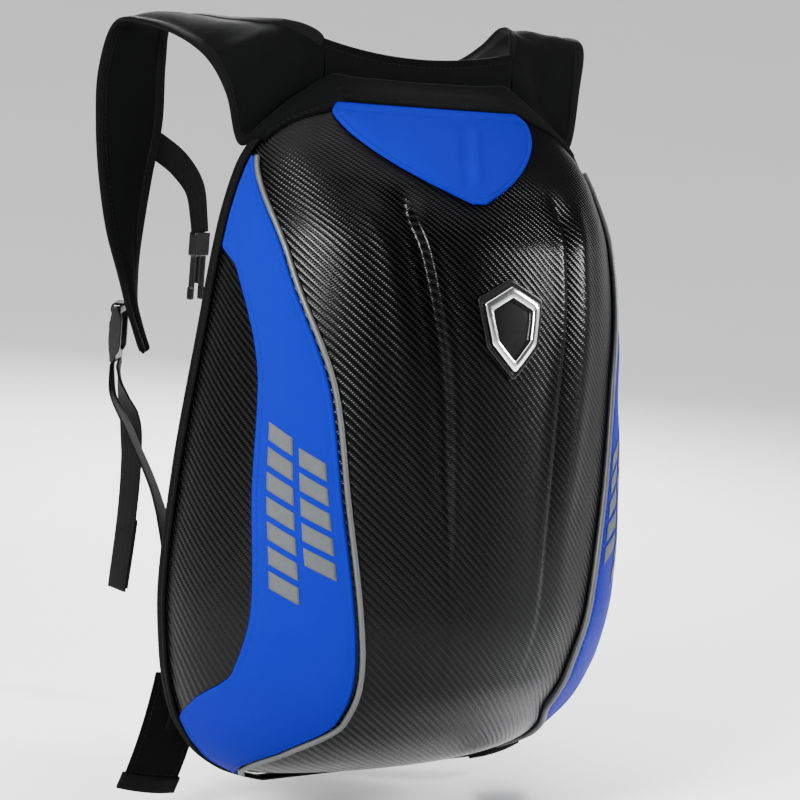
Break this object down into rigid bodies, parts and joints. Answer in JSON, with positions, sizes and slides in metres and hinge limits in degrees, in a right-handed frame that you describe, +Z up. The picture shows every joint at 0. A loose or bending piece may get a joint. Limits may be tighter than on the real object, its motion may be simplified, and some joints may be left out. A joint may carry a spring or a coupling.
{
  "type": "hard shell backpack",
  "caption": "Backpack with a moulded hard shell, cloth side panels, top flap, padded back and shoulder straps held in their worn arch.",
  "frame": {"origin": "on the wearer's face of the back, at its middle, level with the top of the shell, where the pack lies on the wearer's upper back", "axes": "+Z up along the pack, +Y towards the wearer, +X to the right of someone who faces the shell"},
  "size_m": [0.3456, 0.3636, 0.5388],
  "materials": {
    "moulded_shell": "satin black carbon-look twill over a moulded shell",
    "blue_cloth": "royal blue coated nylon",
    "black_cloth": "matt black woven nylon, padded",
    "webbing": "black ribbed webbing",
    "piping": "grey reflective piping",
    "black_plastic": "glossy black acetal",
    "bright_metal": "bright plated badge frame"
  },
  "bodies": {
    "root": {"hard_shell": "moulded_shell", "side_panel_left": "blue_cloth", "side_panel_right": "blue_cloth", "top_flap": "blue_cloth", "piping_left": "piping", "piping_right": "piping", "rear_binding": "black_cloth", "back_panel": "black_cloth", "yoke": "black_cloth", "shoulder_strap_left": "black_cloth", "shoulder_strap_right": "black_cloth", "waist_wing_left": "black_cloth", "waist_wing_right": "black_cloth", "lower_tab_left": "black_cloth", "lower_tab_right": "black_cloth", "webbing_tail_left": "webbing", "webbing_tail_right": "webbing", "lower_webbing_left": "webbing", "lower_webbing_right": "webbing", "chest_webbing_left": "webbing", "chest_webbing_right": "webbing", "ladder_lock_left": "black_plastic", "ladder_lock_right": "black_plastic", "chest_buckle_tongue": "black_plastic", "chest_buckle_socket": "black_plastic", "badge_base": "black_plastic", "badge_mark": "bright_metal"}
  },
  "joints": []
}
